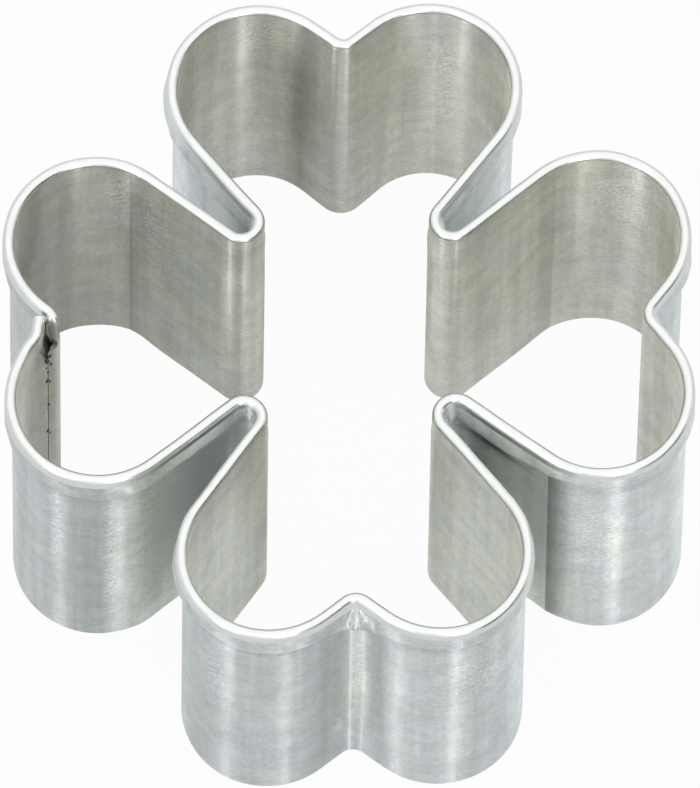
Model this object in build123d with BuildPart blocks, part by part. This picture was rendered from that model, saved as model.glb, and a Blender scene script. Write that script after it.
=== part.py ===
from build123d import *
from collections import namedtuple
from math import atan2, cos, degrees, radians, sin, sqrt
import os

# Four-leaf clover cookie cutter, bent from one strip of tinplate.
# It stands on its cutting edge at z = 0, with the folded rim on top. The origin is the
# middle of the clover, +Z runs up the walls, and one of the four heart-shaped leaves
# points at +Y. The ends of the strip lap in the notch of the leaf that points at -X,
# and spot welds hold the lap.

# Strip
cutter_height = 22.0
sheet = 0.28
hem_height = 2.0
bead_radius = 0.33
lip_gap = 0.03

# Bends, with the radii of the wall's inner face. A leaf's lobes lie past the grooves
# beside it, and the notch's flanks stand at an angle to the leaf's middle
groove_reach = 5.76
groove_radius = 1.27
groove_depth = 7.94
lobe_radius = 4.49
lobe_spread_share = 1.035
notch_radius = 1.12
notch_angle = 52

# What bending by hand adds to each leaf, as shares of one small length: reach and sway
hand_play = 0.1
leaf_play_shares = {
    "left": (-0.5, 0),
    "back": (-1.5, 0.5),
    "right": (-0.5, 1),
    "front": (1, 1.5),
}

# Seam in the left notch: the inner ply with the tab it ends in, and the outer ply
inner_ply_radius = 1.35
inner_ply_angle = 39.5
inner_ply_sway = 0.12
inner_ply_turn = 75
tab_turn = 32
outer_ply_radius = 0.8
lap_clearance = 0.04
lap_angle = 30

# Spot welds between the tab and the outer ply
weld_count = 3
weld_radius = 0.36
weld_edge_distance = 0.5
weld_end_distance = 3.6
weld_bite_share = 0.5

# Centre of a lobe of a leaf that faces +X
lobe_reach = groove_reach + groove_depth
lobe_spread = lobe_radius * lobe_spread_share

hem_thickness = 2 * bead_radius
lip_height = cutter_height - hem_height

# A bend has a centre, a radius and a sense: +1 turns left, -1 turns right
Bend = namedtuple("Bend", "centre radius turn")
Run = namedtuple("Run", "start end left")


def toward(angle):
    """Unit vector that many degrees round from +X."""
    return Vector(1, 0).rotate(Axis.Z, angle)


def heading(centre, point):
    """Direction from a centre to a point, in degrees round from +X."""
    return degrees(atan2(point.Y - centre.Y, point.X - centre.X))


def notch_reach(radius, angle, spread):
    """How far past a lobe's centre a bend lies that a flank at that angle joins to the lobe."""
    both_radii = lobe_radius + radius
    flank = (spread - both_radii * cos(radians(angle))) / sin(radians(angle))
    return both_radii * sin(radians(angle)) - flank * cos(radians(angle))


def leaf_bends(name, facing):
    """Lobe, notch and lobe of one leaf, clockwise, turned to face the given way."""
    reach, sway = (share * hand_play for share in leaf_play_shares[name])
    past_lobe = notch_reach(notch_radius, notch_angle, lobe_spread)
    bends = (
        Bend(Vector(lobe_reach + reach, lobe_spread + sway), lobe_radius, -1),
        Bend(Vector(lobe_reach + reach + past_lobe, sway), notch_radius, 1),
        Bend(Vector(lobe_reach + reach, sway - lobe_spread), lobe_radius, -1),
    )
    return [bend._replace(centre=bend.centre.rotate(Axis.Z, facing)) for bend in bends]


def groove_bend(facing):
    """Hairpin between two leaves, with its open side facing the given way."""
    return Bend(toward(facing) * groove_reach * sqrt(2), groove_radius, 1)


def straight_run(first, second):
    """Straight run that joins one bend to the next, with the direction to its left."""
    across = second.centre - first.centre
    along = across.normalized()
    lean = (second.turn * second.radius - first.turn * first.radius) / across.length
    left = along * lean + along.rotate(Axis.Z, 90) * sqrt(1 - lean**2)
    start = first.centre - left * first.turn * first.radius
    end = second.centre - left * second.turn * second.radius
    return Run(start, end, left)


back_leaf = leaf_bends("back", 90)
right_leaf = leaf_bends("right", 0)
front_leaf = leaf_bends("front", -90)
lower_lobe, _, upper_lobe = leaf_bends("left", 180)

# The inner ply comes from the upper lobe. The outer ply comes from the lower lobe and
# ends straight across the notch, one clearance off the hem of the inner ply
past_upper_lobe = notch_reach(inner_ply_radius, inner_ply_angle, upper_lobe.centre.Y + inner_ply_sway)
inner_ply_bend = Bend(
    Vector(upper_lobe.centre.X - past_upper_lobe, -inner_ply_sway), inner_ply_radius, 1
)
outer_ply_end = inner_ply_bend.centre + toward(lap_angle) * (
    inner_ply_radius - hem_thickness - lap_clearance
)
outer_ply_bend = Bend(outer_ply_end - toward(0) * outer_ply_radius, outer_ply_radius, 1)

bends = [
    inner_ply_bend,
    upper_lobe,
    groove_bend(135),
    *back_leaf,
    groove_bend(45),
    *right_leaf,
    groove_bend(-45),
    *front_leaf,
    groove_bend(-135),
    lower_lobe,
    outer_ply_bend,
]
runs = [straight_run(first, second) for first, second in zip(bends, bends[1:])]
outer_flank = runs[-1]
hem_end_angle = heading(inner_ply_bend.centre, runs[0].start) - inner_ply_turn
tab_end_angle = hem_end_angle - tab_turn

with BuildPart() as cutter_strip:
    # The inner face of the wall, clockwise from the end of the inner ply
    with BuildLine() as inner_face:
        CenterArc(inner_ply_bend.centre, inner_ply_radius, hem_end_angle, inner_ply_turn)
        for run, bend, next_run in zip(runs, bends[1:], runs[1:]):
            Line(run.start, run.end)
            arrival = heading(bend.centre, run.end)
            swing = bend.turn * (heading(bend.centre, next_run.start) - arrival) % 360
            CenterArc(bend.centre, bend.radius, arrival, bend.turn * swing)
        Line(outer_flank.start, outer_flank.end)
        arrival = heading(outer_ply_bend.centre, outer_flank.end)
        CenterArc(outer_ply_bend.centre, outer_ply_radius, arrival, -arrival)
    strip_start = inner_face.wire() @ 0
    strip_heading = inner_face.wire() % 0
    section_plane = Plane(
        origin=strip_start, x_dir=strip_heading.rotate(Axis.Z, 90), z_dir=strip_heading
    )
    # Section of the strip: wall on the inside, bead over the top, lip on the outside.
    # The lip leans in, tangent to the bead above and one lip gap off the wall below
    with BuildSketch(section_plane):
        with BuildLine():
            bead_height = cutter_height - bead_radius
            fold_radius = bead_radius - sheet
            lip_depth = bead_height - lip_height
            lip_offset = sheet + lip_gap - bead_radius
            lip_length = sqrt(lip_offset**2 + lip_depth**2 - fold_radius**2)
            lean = degrees(atan2(lip_depth, lip_offset) - atan2(lip_length, fold_radius))
            inner_side = Line((0, 0), (0, bead_height))
            bead = JernArc(inner_side @ 1, (0, 1), bead_radius, -180 - lean)
            lip_outside = PolarLine(bead @ 1, lip_length, direction=bead % 1)
            lip_edge = PolarLine(lip_outside @ 1, sheet, direction=(bead % 1).rotate(Axis.Z, -90))
            lip_inside = PolarLine(lip_edge @ 1, lip_length, direction=-(bead % 1))
            fold = JernArc(lip_inside @ 1, lip_inside % 1, fold_radius, 180 + lean)
            outer_side = Line(fold @ 1, (sheet, 0))
            Line(outer_side @ 1, inner_side @ 0)
        make_face()
    sweep(path=inner_face.wire())
    # Tab: the hem is cut away at this corner, and the wall below runs on round the bend
    with BuildSketch(Plane.XY):
        with BuildLine():
            tab_inside = CenterArc(inner_ply_bend.centre, inner_ply_radius, tab_end_angle, tab_turn)
            tab_outside = CenterArc(
                inner_ply_bend.centre, inner_ply_radius - sheet, tab_end_angle, tab_turn
            )
            Line(tab_inside @ 0, tab_outside @ 0)
            Line(tab_inside @ 1, tab_outside @ 1)
        make_face()
    extrude(amount=lip_height)
cutter_strip.part.label = "cutter_strip"

# The welds stand square to the outer ply, one above the other. Each is drawn from
# inside one sheet to inside the other, and the sheets are then taken out of it
weld_angle = tab_end_angle + degrees(weld_edge_distance / inner_ply_radius)
weld_bite = sheet * weld_bite_share
weld_start = inner_ply_bend.centre + toward(weld_angle) * (inner_ply_radius - weld_bite)
weld_length = (outer_flank.start - weld_start).dot(outer_flank.left) + weld_bite
weld_rise = (lip_height - 2 * weld_end_distance) / (weld_count - 1)
with BuildPart() as seam_spot_welds:
    for number in range(weld_count):
        weld_height = Vector(0, 0, weld_end_distance + number * weld_rise)
        with BuildSketch(Plane(origin=weld_start + weld_height, z_dir=outer_flank.left)):
            Circle(weld_radius)
        extrude(amount=weld_length)
    add(cutter_strip.part, mode=Mode.SUBTRACT)
seam_spot_welds.part.label = "seam_spot_welds"

os.makedirs("parts", exist_ok=True)
export_step(cutter_strip.part, "parts/cutter_strip.step")
export_step(seam_spot_welds.part, "parts/seam_spot_welds.step")
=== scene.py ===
from collections import namedtuple
from math import atan2, ceil, cos, pi, radians, sin, sqrt

import bpy
import numpy as np
from bpy.props import FloatProperty, FloatVectorProperty, PointerProperty
from bpy.types import Operator, Panel, PropertyGroup
from mathutils import Matrix, Vector


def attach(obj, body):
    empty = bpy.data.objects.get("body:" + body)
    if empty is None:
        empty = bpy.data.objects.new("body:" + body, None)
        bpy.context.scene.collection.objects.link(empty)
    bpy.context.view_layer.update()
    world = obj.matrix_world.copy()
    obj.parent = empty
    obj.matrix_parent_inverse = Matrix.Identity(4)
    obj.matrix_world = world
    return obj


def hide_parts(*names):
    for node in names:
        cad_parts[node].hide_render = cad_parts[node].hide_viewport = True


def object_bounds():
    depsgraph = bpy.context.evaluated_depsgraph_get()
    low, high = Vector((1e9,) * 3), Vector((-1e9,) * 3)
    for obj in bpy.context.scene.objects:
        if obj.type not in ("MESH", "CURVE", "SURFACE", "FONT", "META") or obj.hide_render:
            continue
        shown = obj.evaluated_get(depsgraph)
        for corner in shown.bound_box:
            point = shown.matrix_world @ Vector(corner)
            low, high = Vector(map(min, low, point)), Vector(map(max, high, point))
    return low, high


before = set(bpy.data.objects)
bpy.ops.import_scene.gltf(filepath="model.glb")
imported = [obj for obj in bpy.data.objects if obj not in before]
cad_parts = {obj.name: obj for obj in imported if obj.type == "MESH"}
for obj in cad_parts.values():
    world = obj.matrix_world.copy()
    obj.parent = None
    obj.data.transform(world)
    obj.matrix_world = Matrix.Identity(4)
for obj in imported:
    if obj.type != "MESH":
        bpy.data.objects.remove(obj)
cad_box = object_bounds()

bl_info = {
    "name": "Clover cookie cutter",
    "version": (1, 0, 0),
    "blender": (4, 5, 0),
    "location": "3D View > Sidebar > Cutter",
    "description": "Bends a tinplate cookie cutter from one strip and sets it on a pale table",
    "category": "Object",
}

# Lengths in this file are in metres, and a number of millimetres is written as so many mm
mm = 0.001
# Two places closer than this count as one
HAIR = 0.01 * mm

# A bend turns left at 1 and right at -1. Left of a run is outwards
Bend = namedtuple("Bend", "centre radius turn")
Run = namedtuple("Run", "start end left")
# One ring of the swept strip: distance from the strip's start, a point on the wall's inner
# face and the direction outwards
Ring = namedtuple("Ring", "station point left")


# Sizes and colours that a user would change
def length(name, description, size):
    return FloatProperty(name=name, description=description, default=size, unit="LENGTH", precision=5)


def colour(name, description, code):
    return FloatVectorProperty(
        name=name, description=description, default=linear(code), subtype="COLOR", min=0, max=1
    )


def linear(code):
    """sRGB hex code as a linear colour."""
    values = (int(code[start : start + 2], 16) / 255 for start in (1, 3, 5))
    return [v / 12.92 if v <= 0.04045 else ((v + 0.055) / 1.055) ** 2.4 for v in values]


class FinishSettings(PropertyGroup):
    """Colours of the tinplate, its cut edges and its welds"""

    # Both sides are one tinplate: the inside colour is painted warmer and brighter and the outside
    # colour cooler, as painted reflections
    inner_tin_warm_reflection: colour("Inside", "Tinplate on the side that faces the dough", "#E6E6DB")
    outer_tin_cool_reflection: colour("Outside", "Tinplate on the outside of the leaves", "#DDE1E1")
    # The rim's colour is brighter than the tin's, as a painted highlight
    rim_painted_highlight: colour("Rim", "Tinplate that the fold has rolled bright", "#E9EAE8")
    cut_edge: colour("Cut edge", "Bare steel where the sheet was sheared", "#94938F")
    weld: colour("Weld", "Steel that the welding current has heated", "#7F7A73")


class StripSettings(PropertyGroup):
    """Sizes of the strip, as in the part's source"""

    cutter_height: length("Height", "Height of the cutter from its cutting edge to its rim", 22 * mm)
    sheet: length("Sheet", "Thickness of the tinplate", 0.28 * mm)
    hem_height: length("Hem", "Height of the fold along the upper edge", 2.0 * mm)
    bead_radius: length("Bead radius", "Outer radius of the fold's rounded top", 0.33 * mm)
    lip_gap: length("Lip gap", "Gap between the folded lip and the wall", 0.03 * mm)
    groove_reach: length("Groove reach", "How far out a groove bends, along X and Y", 5.76 * mm)
    groove_radius: length("Groove radius", "Inner-face radius of a groove's hairpin", 1.27 * mm)
    groove_depth: length("Groove depth", "How far a leaf's lobes lie past the grooves", 7.94 * mm)
    lobe_radius: length("Lobe radius", "Inner-face radius of a leaf's lobes", 4.49 * mm)
    lobe_spread: FloatProperty(
        name="Lobe spread", description="Half the way between two lobes, in lobe radii", default=1.035
    )
    notch_radius: length("Notch radius", "Inner-face radius of a leaf's notch", 1.12 * mm)
    notch_angle: FloatProperty(
        name="Notch angle",
        description="Angle of the notch's flanks to the leaf's middle",
        default=radians(52),
        subtype="ANGLE",
    )
    hand_play: length("Hand play", "What bending by hand adds to each leaf", 0.1 * mm)
    ring_spacing: length("Ring spacing", "Largest distance between two rings of the mesh", 0.36 * mm)

    @property
    def lip_height(self):
        """Height of the lip's lower edge, as folded"""
        return self.cutter_height - self.hem_height

    @property
    def bead_height(self):
        """Height where the bead starts"""
        return self.cutter_height - self.bead_radius


# Reach and sway of each leaf, as shares of the hand play
LEAF_PLAY = {"left": (-0.5, 0), "back": (-1.5, 0.5), "right": (-0.5, 1), "front": (1, 1.5)}

# Seam in the left notch: the inner ply with the tab it ends in, and the outer ply
INNER_PLY_RADIUS = 1.35 * mm
INNER_PLY_ANGLE = radians(39.5)
INNER_PLY_SWAY = 0.12 * mm
INNER_PLY_TURN = radians(75)
TAB_TURN = radians(32)
OUTER_PLY_RADIUS = 0.8 * mm
LAP_CLEARANCE = 0.04 * mm
LAP_ANGLE = radians(30)

# Largest turn between two rings in a bend
RING_TURN = radians(8)


# The line that the strip follows, clockwise, as in the part's source
def toward(turn):
    return Vector((cos(turn), sin(turn), 0))


def heading(centre, point):
    return atan2(point.y - centre.y, point.x - centre.x)


def turned(vector, turn):
    return Matrix.Rotation(turn, 3, "Z") @ vector


def notch_reach(lobe_radius, radius, flank_angle, spread):
    """How far past a lobe's centre a bend lies that a flank at that angle joins to the lobe."""
    both_radii = lobe_radius + radius
    flank = (spread - both_radii * cos(flank_angle)) / sin(flank_angle)
    return both_radii * sin(flank_angle) - flank * cos(flank_angle)


def leaf_bends(sizes, name, facing):
    """Lobe, notch and lobe of one leaf."""
    reach, sway = (share * sizes.hand_play for share in LEAF_PLAY[name])
    lobe_reach = sizes.groove_reach + sizes.groove_depth + reach
    spread = sizes.lobe_radius * sizes.lobe_spread
    past_lobe = notch_reach(sizes.lobe_radius, sizes.notch_radius, sizes.notch_angle, spread)
    bends = (
        Bend(Vector((lobe_reach, spread + sway, 0)), sizes.lobe_radius, -1),
        Bend(Vector((lobe_reach + past_lobe, sway, 0)), sizes.notch_radius, 1),
        Bend(Vector((lobe_reach, sway - spread, 0)), sizes.lobe_radius, -1),
    )
    return [bend._replace(centre=turned(bend.centre, facing)) for bend in bends]


def straight_run(first, second):
    """Straight run that joins one bend to the next."""
    across = second.centre - first.centre
    along = across.normalized()
    lean = (second.turn * second.radius - first.turn * first.radius) / across.length
    left = along * lean + turned(along, pi / 2) * sqrt(1 - lean**2)
    start, end = (bend.centre - left * bend.turn * bend.radius for bend in (first, second))
    return Run(start, end, left)


def strip_line(sizes):
    """Bends and runs from the end of the inner ply round to the end of the outer ply."""
    lower_lobe, _, upper_lobe = leaf_bends(sizes, "left", pi)
    past_lobe = notch_reach(
        sizes.lobe_radius, INNER_PLY_RADIUS, INNER_PLY_ANGLE, upper_lobe.centre.y + INNER_PLY_SWAY
    )
    inner_centre = Vector((upper_lobe.centre.x - past_lobe, -INNER_PLY_SWAY, 0))
    inner_ply = Bend(inner_centre, INNER_PLY_RADIUS, 1)
    lap_reach = INNER_PLY_RADIUS - 2 * sizes.bead_radius - LAP_CLEARANCE
    lap = inner_centre + toward(LAP_ANGLE) * lap_reach
    outer_ply = Bend(lap - toward(0) * OUTER_PLY_RADIUS, OUTER_PLY_RADIUS, 1)
    bends = [inner_ply, upper_lobe]
    for corner, name in ((135, "back"), (45, "right"), (-45, "front"), (-135, None)):
        groove_centre = toward(radians(corner)) * sizes.groove_reach * sqrt(2)
        bends.append(Bend(groove_centre, sizes.groove_radius, 1))
        if name:
            bends += leaf_bends(sizes, name, radians(corner - 45))
    bends += [lower_lobe, outer_ply]
    return bends, [straight_run(first, second) for first, second in zip(bends, bends[1:])]


# Steps of modelling that several pieces share
def deselect_all():
    if bpy.context.object and bpy.context.object.mode != "OBJECT":
        bpy.ops.object.mode_set(mode="OBJECT")
    bpy.ops.object.select_all(action="DESELECT")


def start_from(add_primitive, **settings):
    """Adds a primitive, which alone is selected, with its place in its mesh."""
    deselect_all()
    add_primitive(**settings)
    bpy.ops.object.transform_apply(location=True, rotation=True, scale=True)
    return bpy.context.object


def select(piece, kind, wanted):
    """Selects the vertices, edges or faces that the test wants, in edit mode."""
    bpy.ops.object.mode_set(mode="EDIT")
    bpy.ops.mesh.select_mode(type=kind)
    bpy.ops.mesh.select_all(action="DESELECT")
    bpy.ops.object.mode_set(mode="OBJECT")
    mesh = piece.data
    for item in {"VERT": mesh.vertices, "EDGE": mesh.edges, "FACE": mesh.polygons}[kind]:
        item.select = wanted(item)
    bpy.ops.object.mode_set(mode="EDIT")


def extrude(step):
    bpy.ops.mesh.extrude_region_move(TRANSFORM_OT_translate={"value": step})


def join(first, others):
    """Joins the other pieces to the first."""
    deselect_all()
    for piece in (first, *others):
        piece.select_set(True)
    bpy.context.view_layer.objects.active = first
    bpy.ops.object.join()


# Heights in millimetres where the section has a row of its own: on the wall, below the
# hem, where its shade and dirt need closer rows, and behind the hem
WALL_ROWS = [0.9, 1.8, 3.0, 4.5, 6.0, 7.5, 9.0, 10.5, 12.0, 13.5, 15.0, 16.4]
SHADE_ROWS = [17.3, 17.9, 18.3, 18.8, 19.3, 19.6, 19.8]
HEM_ROWS = [20.3, 20.7, 21.2]
LIP_ROWS = 5
BEAD_STEPS = 10
# How far the edges that the shears cut are rounded
CORNER_ROUND = 0.045 * mm


def draw_section(sizes, start):
    """The strip's section at its start, as a ladder of faces: wall, bead and folded lip."""
    sheet, left = sizes.sheet, start.left
    piece = start_from(
        bpy.ops.mesh.primitive_plane_add,
        size=sheet,
        location=start.point + left * sheet / 2 + Vector((0, 0, sheet / 2)),
        rotation=(pi / 2, 0, atan2(left.y, left.x)),
    )
    points = piece.data.vertices
    select(piece, "EDGE", lambda edge: all(points[end].co.z > sheet / 2 for end in edge.vertices))
    rows = [row * mm for row in WALL_ROWS + SHADE_ROWS] + [sizes.lip_height]
    rows += [row * mm for row in HEM_ROWS] + [sizes.bead_height]
    reached = sheet
    for row in rows:
        extrude((0, 0, row - reached))
        reached = row
    # The lip leans in, tangent to the bead above and one lip gap off the wall below
    fold_radius = sizes.bead_radius - sheet
    lip_depth = sizes.bead_height - sizes.lip_height
    lip_offset = sheet + sizes.lip_gap - sizes.bead_radius
    lip_length = sqrt(lip_offset**2 + lip_depth**2 - fold_radius**2)
    lean = atan2(lip_depth, lip_offset) - atan2(lip_length, fold_radius)
    centre = start.point + left * sizes.bead_radius + Vector((0, 0, sizes.bead_height))
    bpy.ops.mesh.spin(steps=BEAD_STEPS, angle=pi + lean, center=centre, axis=turned(left, -pi / 2))
    lip_way = Vector((0, 0, -cos(lean))) - left * sin(lean)
    for _ in range(LIP_ROWS):
        extrude(lip_way * lip_length / LIP_ROWS)
    # The sheared edges, at the foot and at the lip's end, are a little rounded
    bpy.ops.object.mode_set(mode="OBJECT")
    lip_end = len(piece.data.vertices) - 2
    select(piece, "VERT", lambda vertex: vertex.co.z < sheet / 2 or vertex.index >= lip_end)
    bpy.ops.mesh.bevel(offset=CORNER_ROUND, segments=2, affect="VERTICES")
    bpy.ops.object.mode_set(mode="OBJECT")
    return piece


def spin_round(bend, swing, last, spacing, way=1):
    """Carries what is selected round a bend, along the strip or back along it, and returns
    the rings that it passes."""
    steps = max(ceil(abs(swing) * bend.radius / spacing), ceil(abs(swing) / RING_TURN))
    bpy.ops.mesh.spin(steps=steps, angle=-swing, center=bend.centre, axis=(0, 0, 1))
    rings = []
    for _ in range(steps):
        spoke = turned(last.point - bend.centre, swing / steps)
        station = last.station + way * abs(swing) * bend.radius / steps
        last = Ring(station, bend.centre + spoke, turned(last.left, swing / steps))
        rings.append(last)
    return rings


def sweep_section(piece, sizes, bends, runs, start):
    """Carries the section along the bends and runs, and returns the rings that it passes."""
    select(piece, "FACE", lambda face: True)
    rings = [start] + spin_round(bends[0], INNER_PLY_TURN, start, sizes.ring_spacing)
    for run, bend, next_run in zip(runs, bends[1:], runs[1:] + [None]):
        way = run.end - run.start
        steps = ceil(way.length / sizes.ring_spacing)
        for _ in range(steps):
            last = rings[-1]
            extrude(way / steps)
            rings.append(Ring(last.station + way.length / steps, last.point + way / steps, run.left))
        arrival = heading(bend.centre, run.end)
        # The outer ply ends straight across the notch
        swing = -arrival
        if next_run:
            leave = heading(bend.centre, next_run.start)
            swing = bend.turn * (bend.turn * (leave - arrival) % (2 * pi))
        rings += spin_round(bend, swing, rings[-1], sizes.ring_spacing)
    bpy.ops.object.mode_set(mode="OBJECT")
    return rings


def sweep_tab(piece, sizes, bend, start):
    """Runs the wall below the hem on round the inner ply's bend, and returns its rings."""
    along = turned(start.left, -pi / 2)

    def at_start_below_hem(face):
        away = face.center - start.point
        in_sheet = 0 < away.dot(start.left) < sizes.sheet
        return abs(away.dot(along)) < HAIR and in_sheet and away.z < sizes.lip_height

    select(piece, "FACE", at_start_below_hem)
    rings = spin_round(bend, -TAB_TURN, start, sizes.ring_spacing, way=-1)
    bpy.ops.object.mode_set(mode="OBJECT")
    return rings


def outline_neighbours(piece):
    """For each vertex of the section, the two beside it on the outline."""
    edge_faces = {}
    for face in piece.data.polygons:
        for pair in face.edge_keys:
            edge_faces[pair] = edge_faces.get(pair, 0) + 1
    beside = {}
    for (a, b), faces in edge_faces.items():
        if faces == 1:
            beside.setdefault(a, []).append(b)
            beside.setdefault(b, []).append(a)
    return beside


class Sheet:
    """The swept strip as numbers: for every vertex its ring and its place in the section."""

    def __init__(self, piece, section, beside, rings, tab_rings):
        count = len(section)
        places = np.array([vertex.co for vertex in piece.data.vertices])
        self.x = (section - np.array(rings[0].point)) @ np.array(rings[0].left)
        self.z = section[:, 2]
        every = tab_rings[::-1] + rings
        self.station = np.array([ring.station for ring in every])
        self.point = np.array([ring.point for ring in every])
        self.left = np.array([ring.left for ring in every])
        self.length = self.station.max() - self.station.min()
        # The strip was swept first, and then the tab the other way
        tab_size = (len(places) - count * len(rings)) // len(tab_rings)
        order = [*range(len(tab_rings), len(every)), *reversed(range(len(tab_rings)))]
        self.ring = np.repeat(order, [count] * len(rings) + [tab_size] * len(tab_rings))
        self.along = self.station[self.ring]
        out = self.left[self.ring]
        away = places - self.point[self.ring]
        gaps = np.hypot((away * out).sum(axis=1)[:, None] - self.x, away[:, 2:] - self.z)
        self.spot = gaps.argmin(axis=1)
        off = away - self.x[self.spot, None] * out - self.z[self.spot, None] * np.array((0, 0, 1))
        if np.linalg.norm(off, axis=1).max() > HAIR:
            raise RuntimeError("a ring of the strip isn't where its line says")
        # Distance round the outline of the section, from the foot of the inner face
        at_foot = np.flatnonzero(self.z < self.z.min() + 2 * HAIR)
        foot = int(at_foot[self.x[at_foot].argmin()])
        walk = [foot]
        step = max(beside[foot], key=lambda index: self.z[index])
        while step != foot:
            walk.append(step)
            step = next(index for index in beside[step] if index != walk[-2])
        ends = np.roll(walk, -1)
        sides = np.hypot(self.x[ends] - self.x[walk], self.z[ends] - self.z[walk])
        self.round = np.empty(count)
        self.round[walk] = np.concatenate(([0], np.cumsum(sides)[:-1]))
        self.outline = sides.sum()

    def nearest(self, x, y):
        """Station of the ring whose wall stands nearest to that place, in millimetres."""
        place = np.array((x * mm, y * mm, 0))
        return self.station[np.linalg.norm(self.point - place, axis=1).argmin()]

    def near(self, x, y, half_width):
        """How near along the strip each vertex lies to that place, from 0 to 1."""
        return hump(self.along, self.nearest(x, y), half_width * mm)


def hump(values, middle, half_width):
    """1 at the middle, falling smoothly to 0 about two half widths away."""
    return np.exp(-(((values - middle) / half_width) ** 2))


def ramp(values, low, high):
    """0 at low, 1 at high, smooth between and level outside."""
    share = np.clip((values - low) / (high - low), 0, 1)
    return share * share * (3 - 2 * share)


# What bending by hand did to the sheet. A row starts with the place, x and y, and the half
# width along the strip, and its lengths are in millimetres

# The hem where it moved: how far the lip's lower edge stands off the wall and lies higher
HEM_CHANGES = [
    (-5.0, 7.5, 4.0, 0.30, 0.0),
    (-7.5, 5.0, 4.0, 0.25, 0.0),
    (5.0, 7.5, 4.0, 0.12, 0.9),
    (7.5, 5.0, 4.0, 0.12, 0.6),
    (7.5, -5.0, 4.5, 0.26, 0.0),
    (5.0, -7.5, 4.0, 0.25, 0.2),
    (-5.0, -7.5, 4.0, 0.22, 0.2),
    (-7.5, -5.0, 4.0, 0.20, 0.4),
    (13.6, -9.1, 5.0, 0.0, 0.7),
    (4.8, -18.3, 3.5, 0.0, 0.15),
]

# The hem where it bridges a notch: way x and y, and how far it stands off the wall
NOTCH_BRIDGES = [
    (-0.05, 15.9, 1.7, 0, 1, 0.40),
    (16.0, 0.1, 1.7, 1, 0, 0.40),
    (0.15, -16.2, 1.6, 0, -1, 0.74),
]

# The lip swings about the bead: its depth below the bead to these powers gives its share of
# the lower edge's move, anywhere and across a notch
LIP_CURL = 1.3
BRIDGE_CURL = 1.2

# Creases that the bending tool left where a lobe meets its flank: how far they stand out
CREASES = [
    (-11.7, 8.65, 2.0, 0.12),
    (11.3, 8.75, 2.4, 0.09),
    (10.65, -8.2, 1.6, 0.12),
    (-5.6, 8.3, 2.0, 0.05),
    (-11.4, -8.8, 1.6, 0.05),
]
# The stiff hem holds them flat: heights where they start and are whole
CREASE_HEIGHTS = 22 * mm, 18 * mm

# Dents and bulges in the wall: height, half height and how far outwards
DENTS = [
    (-1.0, -17.0, 0.55, 4.6, 1.2, 0.10),
    (0.9, -16.6, 0.4, 10.0, 7.0, -0.05),
    (5.2, -18.6, 1.6, 15.0, 2.6, 0.05),
    (3.4, -18.3, 1.2, 8.0, 2.2, -0.04),
    (-4.9, -18.9, 1.1, 12.0, 5.0, 0.03),
    (-15.0, -9.0, 1.0, 11.0, 6.0, 0.03),
    (13.9, -9.2, 1.3, 15.0, 3.0, -0.04),
    (16.3, 8.0, 1.2, 15.5, 4.0, 0.03),
    (12.9, 9.2, 1.4, 16.5, 2.2, -0.03),
    (-13.6, 9.2, 1.2, 17.0, 2.4, 0.03),
    (4.6, 18.0, 1.6, 17.0, 3.5, 0.03),
    (-3.4, 17.8, 1.0, 16.0, 4.0, -0.04),
    (-6.2, -10.6, 1.2, 16.5, 2.2, 0.07),
    (5.5, 6.2, 1.2, 18.9, 1.0, -0.10),
    (-5.3, 5.4, 1.0, 17.5, 2.2, 0.04),
]

# Where the foot of the wall stands beside its top: how far outwards
FOOT_SHIFTS = [
    (-0.05, 15.9, 3.0, -0.26),
    (8.9, 15.0, 3.0, -0.18),
    (11.0, -8.6, 2.0, -0.15),
]

# Slow waves along the strip: wavelength and size in millimetres, phase, and how much the
# crest leans for each centimetre of height
WAVES = [
    (23.0, 0.021, 0.4, 0.3),
    (9.1, 0.0112, 2.1, -0.5),
    (4.3, 0.0049, 4.0, 0.8),
    (1.9, 0.00154, 1.2, 0.4),
]

# Unevenness of the bead, in the same way, without the lean, how far down its shoulder it
# reaches, and how far the shoulder sinks for each step inwards
BEAD_WAVES = [(17.0, 0.020, 1.0), (6.7, 0.014, 3.2), (3.1, 0.010, 0.3), (1.3, 0.006, 2.0)]
SHOULDER_REACH = 0.2 * mm
SHOULDER_SINK = 0.5

# The lip's edge wavers with the bead: how far off the wall and how far up for each wave
LIP_WAVER = 2.5
LIP_RISE = 4
# How much closer to the wall the lip's lower edge lies than the bead, as folded
LIP_LEAN = 0.06 * mm
# How far below its height the lip's lower edge may lie
LIP_SLACK = 0.1 * mm

# The lip pressed a shallow step into the wall when it was folded down: depth, and how far
# above the lip's lower edge it starts and is whole
STEP_DEPTH = 0.035 * mm
STEP_REACH = 0.15 * mm, -0.25 * mm

# Where the seam was welded, the outer ply was pressed in below its hem: how far, how far
# from its end that starts and is whole, and how far above the lip's lower edge
PLY_PRESS = 0.40 * mm
PLY_PRESS_ALONG = 3.2 * mm, 0.9 * mm
PLY_PRESS_UP = 0.1 * mm, -1.1 * mm
# Its end was closed up, hem and all: how far, place from the end and half width
PLY_CLOSE = 0.21 * mm
PLY_CLOSE_PLACE = 1.2 * mm
PLY_CLOSE_WIDTH = 0.6 * mm
# The tab was pressed out and its end squeezed thin: how far out, by what share thinner,
# and how far from its start the squeeze starts and is whole
TAB_PRESS = 0.06 * mm
TAB_SQUEEZE = 0.8
TAB_SQUEEZE_REACH = 0.2 * mm, 0.75 * mm
# The inner ply's hem was hammered down to its end: stations of its end and of the whole
# hem, and the share of it that the end keeps
HEM_TAPER = -0.1 * mm, 0.9 * mm
HEM_TAPER_SHARE = 0.25


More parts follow.
